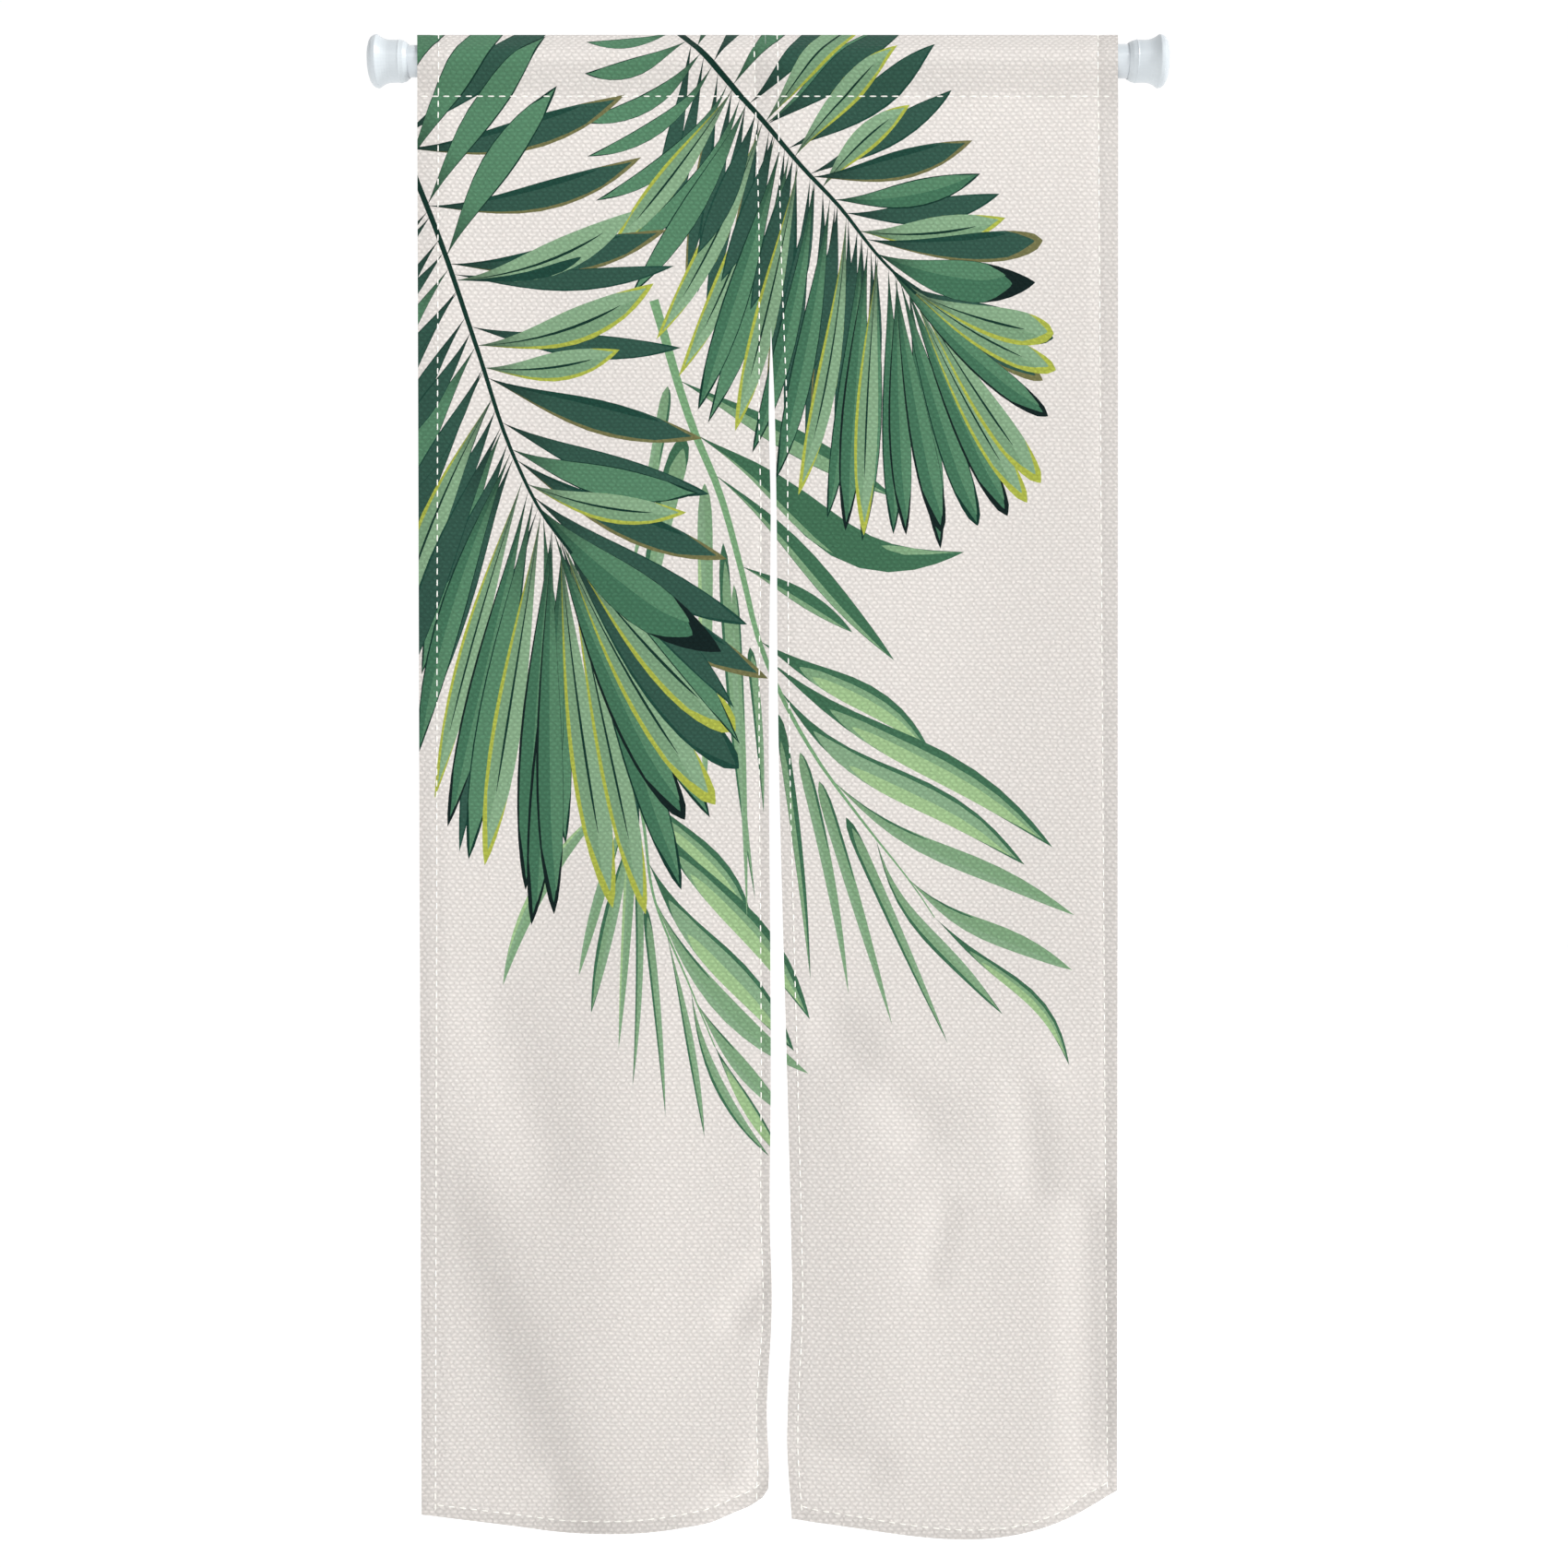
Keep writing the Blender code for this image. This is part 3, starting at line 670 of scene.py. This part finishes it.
def panel_outline(panel):
    first, last = min(panel["bottom"]), max(panel["bottom"])
    x = even(first[0], last[0], EDGE_POINTS)
    low = np.stack([x, rounded(panel["bottom"], x)], axis=1)
    pocket = HEIGHTS[1:]
    right_up = np.concatenate([even(low[-1, 1], -POCKET_SEAM, EDGE_POINTS)[1:], pocket])
    left_down = np.concatenate([pocket[::-1], even(-POCKET_SEAM, low[0, 1], EDGE_POINTS)[:-1]])
    right = np.stack([panel_edges(panel, right_up)[1], right_up], axis=1)
    left = np.stack([panel_edges(panel, left_down)[0], left_down], axis=1)
    return np.concatenate([low, right, left])


def hem_lines(panel):
    """The lines of stitches along the left, right and bottom hems."""
    heights = np.concatenate([even(SEAMS_FROM, -POCKET_SEAM, STITCH_PITCH / 2)[:-1], HEIGHTS])
    z = true_height(heights)
    left = rounded(panel["left"], z) + read_table(panel["left_hem"], z)
    right = rounded(panel["right"], z) - read_table(panel["right_hem"], z)
    x = even(left.min(), right.max(), STITCH_PITCH / 2)
    low = rounded(panel["bottom"], x) + read_table(panel["bottom_hem"], x)
    return (np.stack([left, heights], axis=1), np.stack([right, heights], axis=1),
            np.stack([x, low], axis=1))


def contained(panel, points, margin=0.0):
    """Which points lie on the panel, at least a margin in from its edges."""
    x, height = points[:, 0], points[:, 1]
    left, right = panel_edges(panel, height)
    low = rounded(panel["bottom"], x)
    return ((x > left + margin) & (x < right - margin) & (height > low + margin)
            & (height < CLOTH_END - margin))


def triangulate(panel, shapes):
    """Points of the flat cloth and its triangles, with edges along every line of the print."""
    lines = Lines()
    lines.add(panel_outline(panel), closed=True)
    spread = GROOVE_HALF_WIDTH
    for line, offset in zip(hem_lines(panel), ((spread, 0), (spread, 0), (0, spread))):
        for away in (-1, 0, 1):
            moved = line + np.array(offset) * away
            kept = contained(panel, moved, LINE_INSET)
            if kept.any():
                lines.add(moved[np.argmax(kept):len(kept) - np.argmax(kept[::-1])])
    span = np.array([panel_edges(panel, np.array(SPAN_HEIGHTS))])
    columns = even(span.min() - COLUMN_OVERHANG, span.max() + COLUMN_OVERHANG, FREE_POINTS)
    for height in HEIGHTS[:-1]:
        lines.add([(x, height) for x in columns])
    low, high = span.min() - PRINT_OVERHANG, span.max() + PRINT_OVERHANG
    used = [shape for shape in shapes
            if shape[0][:, 0].max() > low and shape[0][:, 0].min() < high]
    for shape in used:
        lines.add(shape[0], closed=True)
    rows = even(GRID_FROM, -POCKET_SEAM - GRID_INSET, FREE_POINTS)
    grid = np.array([(x, z) for z in rows for x in columns])
    grid = grid[contained(panel, grid, GRID_INSET)]
    lines.points += [Vector(point) for point in grid]
    points, _, faces, _, _, _ = delaunay_2d_cdt(lines.points, lines.edges, [], 0, MERGE, False)
    points = np.array([tuple(point) for point in points])
    faces = np.array([tuple(face) for face in faces])
    corners = points[faces]
    turned = np.cross(corners[:, 1] - corners[:, 0], corners[:, 2] - corners[:, 0])
    middles = corners.mean(axis=1)
    kept = contained(panel, middles) & (np.abs(turned) > SMALLEST_FACE)
    faces, turned = faces[kept], turned[kept]
    faces[turned < 0] = faces[turned < 0][:, ::-1]
    numbers, faces = np.unique(faces, return_inverse=True)
    return points[numbers], faces.reshape(-1, 3), used


def print_colours(points, faces, shapes):
    """A colour for each corner of each triangle."""
    corners = points[faces]
    middles = corners.mean(axis=1)
    ground = linear(COLOURS["ground"])
    colours = np.broadcast_to(ground, (len(faces), 3, 3)).copy()
    palette = {name: linear(colour) for name, colour in COLOURS.items()}
    shadow = palette["black"]
    for outline, colour, base, ahead, dark in shapes:
        low, high = outline.min(axis=0), outline.max(axis=0)
        near = np.nonzero(((middles > low) & (middles < high)).all(axis=1))[0]
        hit = near[inside(middles[near], outline)]
        if not len(hit):
            continue
        along = (corners[hit] - base) @ ahead
        shade = dark * np.clip(1 - along / BASE_SHARE, 0, 1)[..., None]
        lift = 1.0 + TIP_LIFT * np.clip(along, 0, 1)[..., None]
        colours[hit] = palette[colour] * lift * (1 - shade) + shadow * shade
    return colours


def painted_hem_shade(panel, points, faces):
    """The hems' painted shade: how much darker the doubled hems look, for each triangle."""
    middles = points[faces].mean(axis=1)
    (left, _), (right, _), (low, _), _ = stitch_lines(panel, middles[:, 0], middles[:, 1])
    shade = np.ones(len(faces))
    shade[low < 0] = HEM_PAINTED_SHADE
    shade[(left < 0) | (right > 0)] = HEM_PAINTED_SHADE
    return shade


def cloth_mesh(name, panel, shapes):
    points, faces, used = triangulate(panel, shapes)
    x, height = points[:, 0], points[:, 1]
    normals = facing(panel, x, height)
    raised = relief(panel, x, height)[:, None]
    front = surface(panel, x, height) + normals * raised
    back = front - normals * thickness(panel, x, height)[:, None]
    slope_x = relief(panel, x + SLOPE_STEP, height) - relief(panel, x - SLOPE_STEP, height)
    slope_up = relief(panel, x, height + SLOPE_STEP) - relief(panel, x, height - SLOPE_STEP)
    tilt = np.stack([slope_x, np.zeros_like(x), slope_up], axis=1) / (2 * SLOPE_STEP)
    shown = normals - tilt
    shown /= np.linalg.norm(shown, axis=1, keepdims=True)
    count = len(points)
    face_beside = {}
    for number, (a, b, c) in enumerate(faces):
        for pair in ((a, b), (b, c), (c, a)):
            face_beside[pair] = number
    rim = [pair for pair in face_beside if (pair[1], pair[0]) not in face_beside]
    polygons = faces.tolist() + (faces[:, ::-1] + count).tolist()
    polygons += [(b, a, a + count, b + count) for a, b in rim]
    mesh = bpy.data.meshes.new(name)
    mesh.from_pydata(np.concatenate([front, back]).tolist(), [], polygons)
    # the print, darkened by the hems' painted shade
    colours = print_colours(points, faces, used) * painted_hem_shade(panel, points, faces)[:, None, None]
    rim_colours = np.array([colours[face_beside[pair]].mean(axis=0) for pair in rim])
    loops = np.concatenate([
        colours.reshape(-1, 3), colours[:, ::-1].reshape(-1, 3), np.repeat(rim_colours, 4, axis=0)])
    attribute = mesh.color_attributes.new("print", 'FLOAT_COLOR', 'CORNER')
    attribute.data.foreach_set("color", np.c_[loops, np.ones(len(loops))].ravel())
    along_cloth = np.where(height < -POCKET_SEAM, height, np.interp(height, HEIGHTS, CLOTH_LENGTHS))
    flat = np.stack([x, along_cloth], axis=1)
    flat = np.concatenate([flat, flat])
    index = np.zeros(len(mesh.loops), dtype=np.int64)
    mesh.loops.foreach_get("vertex_index", index)
    layer = mesh.uv_layers.new(name="cloth")
    layer.data.foreach_set("uv", flat[index].ravel())
    material_numbers = np.concatenate([
        np.zeros(len(faces), dtype=np.int32), np.ones(len(faces), dtype=np.int32),
        np.zeros(len(rim), dtype=np.int32)])
    mesh.polygons.foreach_set("material_index", material_numbers)
    mesh.shade_smooth()
    corner_normals = np.concatenate([shown, -shown])[index]
    rim_start = 2 * faces.size
    rim_ends = np.concatenate([front, back])[index[rim_start:]].reshape(-1, 4, 3)
    rim_normals = np.cross(rim_ends[:, 1] - rim_ends[:, 0], rim_ends[:, 2] - rim_ends[:, 0])
    rim_normals /= np.maximum(np.linalg.norm(rim_normals, axis=1, keepdims=True), SMALLEST_FACE)
    corner_normals[rim_start:] = np.repeat(rim_normals, 4, axis=0)
    mesh.validate()
    mesh.normals_split_custom_set(corner_normals.tolist())
    return placed(name, mesh)


# Sewing thread
def stitch_places(panel):
    """Each stitch's middle and direction on the flat cloth, and whether it can show on both sides."""
    places = []
    for line in hem_lines(panel):
        marks = marks_along(line)
        at = np.arange(STITCH_PITCH / 2, marks[-1], STITCH_PITCH)
        middle = interpolated(at, marks, line)
        ahead = interpolated(at + STITCH_AHEAD, marks, line) - middle
        ahead /= np.maximum(np.linalg.norm(ahead, axis=1, keepdims=True), SHORTEST)
        kept = contained(panel, middle, STITCH_LENGTH * STITCH_INSET)
        places += [(point, way, True) for point, way in zip(middle[kept], ahead[kept])]
    left, right = panel_edges(panel, np.array([-POCKET_SEAM]))
    row = np.arange(left[0] + STITCH_PITCH * ROW_START, right[0] - STITCH_PITCH * ROW_END, STITCH_PITCH)
    for height in (-POCKET_SEAM, back_seam_height()):
        places += [(np.array((x, height)), np.array((1.0, 0.0)), False) for x in row]
    return places


def back_seam_height():
    """The pocket's sewn line where it comes out behind."""
    top = int(np.argmax(TRUE_HEIGHTS))
    return float(np.interp(POCKET_SEAM, -TRUE_HEIGHTS[top:], HEIGHTS[top:]))


def cord_polygons(first):
    """The sides and both ends of a stitch whose points start at a number."""
    polygons = []
    for ring in range(first, first + (STITCH_RINGS - 1) * STITCH_SIDES, STITCH_SIDES):
        for number in range(STITCH_SIDES):
            a, b = ring + number, ring + (number + 1) % STITCH_SIDES
            polygons.append((a, a + STITCH_SIDES, b + STITCH_SIDES, b))
    last = first + (STITCH_RINGS - 1) * STITCH_SIDES
    polygons.append(tuple(range(first, first + STITCH_SIDES)))
    polygons.append(tuple(reversed(range(last, last + STITCH_SIDES))))
    return polygons


def thread_mesh(name, panel, finish):
    """All stitches of a panel, as short flat cords that dive into the cloth at their ends."""
    turns = np.linspace(0, math.tau, STITCH_SIDES, endpoint=False)
    share = np.linspace(-1, 1, STITCH_RINGS)
    girth = np.sqrt(np.clip(1 - (STITCH_ENDS * share) ** 4, 0, 1)) * (1 - STITCH_TAPER * share ** 2)
    wide = np.cos(turns)[None, :, None] * STITCH_HALF_WIDTH * girth[:, None, None]
    high = np.sin(turns)[None, :, None] * STITCH_HALF_HEIGHT * girth[:, None, None]
    lift = (STITCH_LIFT - STITCH_DIVE * np.abs(share) ** 5)[:, None]
    points, polygons = [], []
    for middle, way, both in stitch_places(panel):
        along = middle + way * (share * STITCH_LENGTH / 2)[:, None]
        x, height = along[:, 0], along[:, 1]
        normal = facing(panel, x, height)
        on = surface(panel, x, height) + normal * relief(panel, x, height)[:, None]
        ahead = np.gradient(on, axis=0)
        ahead /= np.linalg.norm(ahead, axis=1, keepdims=True)
        side = np.cross(normal, ahead)
        faces_out = [1.0]
        if both and height.max() < -POCKET_SEAM - BACK_ALLOWANCE:
            faces_out.append(-1.0)
        for out in faces_out:
            start = on if out > 0 else on - normal * thickness(panel, x, height)[:, None]
            centre = start + normal * out * lift
            polygons += cord_polygons(len(points))
            rings = centre[:, None, :] + side[:, None, :] * wide + normal[:, None, :] * high
            points += rings.reshape(-1, 3).tolist()
    mesh = bpy.data.meshes.new(name)
    mesh.from_pydata(points, [], polygons)
    mesh.shade_smooth()
    mesh.materials.append(finish)
    return placed(name, mesh)


# Materials
class Nodes:
    """Short ways to add and join a material's nodes."""

    def __init__(self, name):
        self.material = bpy.data.materials.new(name)
        self.material.use_nodes = True
        self.tree = self.material.node_tree
        self.shader = self.tree.nodes["Principled BSDF"]

    def put(self, value, node_input):
        """Joins a node's output to an input, or sets the input to a constant."""
        if isinstance(value, bpy.types.NodeSocket):
            self.tree.links.new(value, node_input)
        else:
            node_input.default_value = value

    def shade(self, name, value):
        self.put(value, self.shader.inputs[name])

    def add(self, kind, inputs=(), **settings):
        node = self.tree.nodes.new(kind)
        for name, value in settings.items():
            setattr(node, name, value)
        for name, value in inputs:
            self.put(value, node.inputs[name])
        return node

    def maths(self, operation, *values):
        return self.add("ShaderNodeMath", enumerate(values), operation=operation).outputs[0]

    def noise(self, place, scale, detail, roughness=0.5):
        inputs = (("Vector", place), ("Scale", scale), ("Detail", detail), ("Roughness", roughness))
        return self.add("ShaderNodeTexNoise", inputs).outputs["Fac"]

    def shifted(self, value, place, scale, detail, most):
        """A value that a noise moves by up to the most."""
        moved = self.maths("MULTIPLY", self.noise(place, scale, detail), most)
        return self.maths("ADD", value, moved)

    def mix(self, factor, first, second, **settings):
        inputs = (("Factor", factor), ("A", first), ("B", second))
        return self.add("ShaderNodeMix", inputs, data_type='RGBA', **settings).outputs["Result"]

    def bump(self, height, distance, strength):
        inputs = (("Height", height), ("Distance", distance), ("Strength", strength))
        self.shade("Normal", self.add("ShaderNodeBump", inputs).outputs["Normal"])


def cloth_material(name, through):
    """Coarse plain weave with the print in its colour attribute; behind, the print shows through paler."""
    made = Nodes(name)
    place = made.add("ShaderNodeUVMap", uv_map="cloth").outputs["UV"]
    parts = made.add("ShaderNodeSeparateXYZ", (("Vector", place),))
    across = made.shifted(parts.outputs["X"], place, *WANDER)
    up = made.shifted(made.shifted(parts.outputs["Y"], place, *SLUB), place, *FINE_WANDER)
    wave_across = made.maths("COSINE", made.maths("MULTIPLY", across, math.tau / FLOAT_PITCH))
    wave_up = made.maths("COSINE", made.maths("MULTIPLY", up, math.pi / ROW_PITCH))
    rows = made.maths("COSINE", made.maths("MULTIPLY", up, math.tau / ROW_PITCH))
    lattice = made.maths("MULTIPLY_ADD", rows, WHOLE_ROWS, made.maths("MULTIPLY", wave_across, wave_up))
    speck = made.maths("MULTIPLY_ADD", made.noise(place, *SPECK), SPECK_SCALE, SPECK_SHIFT)
    lattice = made.maths("MULTIPLY", lattice, speck)
    printed = made.add("ShaderNodeVertexColor", layer_name="print").outputs["Color"]
    if through:
        printed = made.mix(BACK_PALENESS, printed, (*linear(COLOURS["ground"]), 1.0))
    bright = made.maths("MULTIPLY_ADD", lattice, WEAVE_CONTRAST, CLOTH_TONE)
    grey = made.add("ShaderNodeCombineColor", [(channel, bright) for channel in ("Red", "Green", "Blue")])
    lit = made.mix(1.0, printed, grey.outputs[0], blend_type='MULTIPLY')
    warmth = made.maths("MULTIPLY", made.noise(place, *WARM_NOISE), WARM_MOST)
    made.shade("Base Color", made.mix(warmth, lit, WARM_TINT, blend_type='MULTIPLY'))
    made.bump(lattice, *WEAVE_BUMP)
    made.shade("Roughness", 0.92)
    made.shade("Specular IOR Level", 0.15)
    made.shade("Sheen Weight", 0.05)
    made.shade("Sheen Roughness", 0.5)
    return made.material


def plain_material(name, tones, patches, grain, grain_bump, roughness, coat):
    """Faint patches of two tones, and a fine grain."""
    made = Nodes(name)
    place = made.add("ShaderNodeTexCoord").outputs["Object"]
    first, second = [(*linear(tone), 1.0) for tone in tones]
    made.shade("Base Color", made.mix(made.noise(place, *patches), first, second))
    made.bump(made.noise(place, *grain), *grain_bump)
    made.shade("Roughness", roughness)
    made.shade("Coat Weight", coat)
    return made.material


def refinish(node, finish):
    """Gives a CAD node a new material."""
    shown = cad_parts[node]
    shown.data.materials.clear()
    shown.data.materials.append(finish)


# Studio
def add_light(light, place, target):
    made = placed(light.name, light)
    made.location = place
    made.rotation_euler = (Vector(target) - Vector(place)).to_track_quat('-Z', 'Y').to_euler()


def sky_ramp(tree, value, ends, levels):
    """Passes smoothly from one level to another while the value passes between two ends."""
    node = tree.nodes.new("ShaderNodeMapRange")
    node.interpolation_type = 'SMOOTHSTEP'
    tree.links.new(value, node.inputs["Value"])
    for name, level in zip(("From Min", "From Max", "To Min", "To Max"), (*ends, *levels)):
        if isinstance(level, float):
            node.inputs[name].default_value = level
        else:
            tree.links.new(level, node.inputs[name])
    return node.outputs["Result"]


def build_studio():
    scene = bpy.context.scene
    scene.view_settings.view_transform = 'Standard'
    lens = bpy.data.cameras.new("camera")
    lens.sensor_width = SENSOR
    lens.lens = SENSOR * SEEN_FROM / SEEN_WIDTH
    camera = placed("camera", lens)
    camera.location = (SEEN_MIDDLE[0], -SEEN_FROM, SEEN_MIDDLE[1])
    camera.rotation_euler = (math.pi / 2, 0.0, 0.0)
    scene.camera = camera

    key = bpy.data.lights.new("key", 'SUN')
    key.energy = KEY_STRENGTH
    key.angle = KEY_ANGLE
    add_light(key, KEY_FROM, (0.0, 0.0, 0.0))
    top = bpy.data.lights.new("top", 'AREA')
    top.shape = 'RECTANGLE'
    top.size, top.size_y = TOP_SIZE
    top.energy = TOP_POWER
    add_light(top, TOP_FROM, TOP_TO)

    world = bpy.data.worlds.new("studio")
    world.use_nodes = True
    tree = world.node_tree
    back = tree.nodes["Background"]
    place = tree.nodes.new("ShaderNodeTexCoord").outputs["Generated"]
    parts = tree.nodes.new("ShaderNodeSeparateXYZ")
    tree.links.new(place, parts.inputs[0])
    band = sky_ramp(tree, parts.outputs["Z"], SKY_BAND_ENDS, (SKY_FRONT + SKY_BAND, SKY_FRONT))
    glow = sky_ramp(tree, parts.outputs["Y"], SKY_TURN, (band, SKY_BACK))
    tree.links.new(glow, back.inputs["Strength"])
    back.inputs["Color"].default_value = (1.0, 1.0, 1.0, 1.0)
    scene.world = world

    floor_mesh = bpy.data.meshes.new("floor")
    half, level = FLOOR_HALF, FLOOR_LEVEL
    floor_mesh.from_pydata(
        [(-half, -half, level), (half, -half, level), (half, half, level), (-half, half, level)],
        [], [(0, 1, 2, 3)])
    pale = Nodes("pale_floor")
    pale.shade("Base Color", (FLOOR_COLOUR, FLOOR_COLOUR, FLOOR_COLOUR, 1.0))
    pale.shade("Roughness", 0.9)
    pale.shade("Specular IOR Level", 0.1)
    pale.shade("Emission Color", (1.0, 1.0, 1.0, 1.0))
    pale.shade("Emission Strength", FLOOR_GLOW)
    floor_mesh.materials.append(pale.material)
    floor = placed("floor", floor_mesh)


def build_curtain():
    shapes = draw_print()
    front = cloth_material("printed_linen", False)
    behind = cloth_material("printed_linen_back", True)
    thread = plain_material("sewing_thread", *THREAD)
    for node, panel in PANELS.items():
        side = node.split("_")[1]
        cloth = cloth_mesh(f"cloth_{side}", panel, shapes)
        cloth.data.materials.append(front)
        cloth.data.materials.append(behind)
        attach(cloth, "root")
        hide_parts(node)
        sewing = thread_mesh(f"stitching_{side}", panel, thread)
        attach(sewing, "root")
    steel = plain_material("painted_steel", *STEEL)
    plastic = plain_material("cap_plastic", *CAP)
    for node in ("rod_tube_outer", "rod_tube_inner"):
        refinish(node, steel)
    for node in ("end_cap_left", "end_cap_right"):
        refinish(node, plastic)


build_studio()
build_curtain()
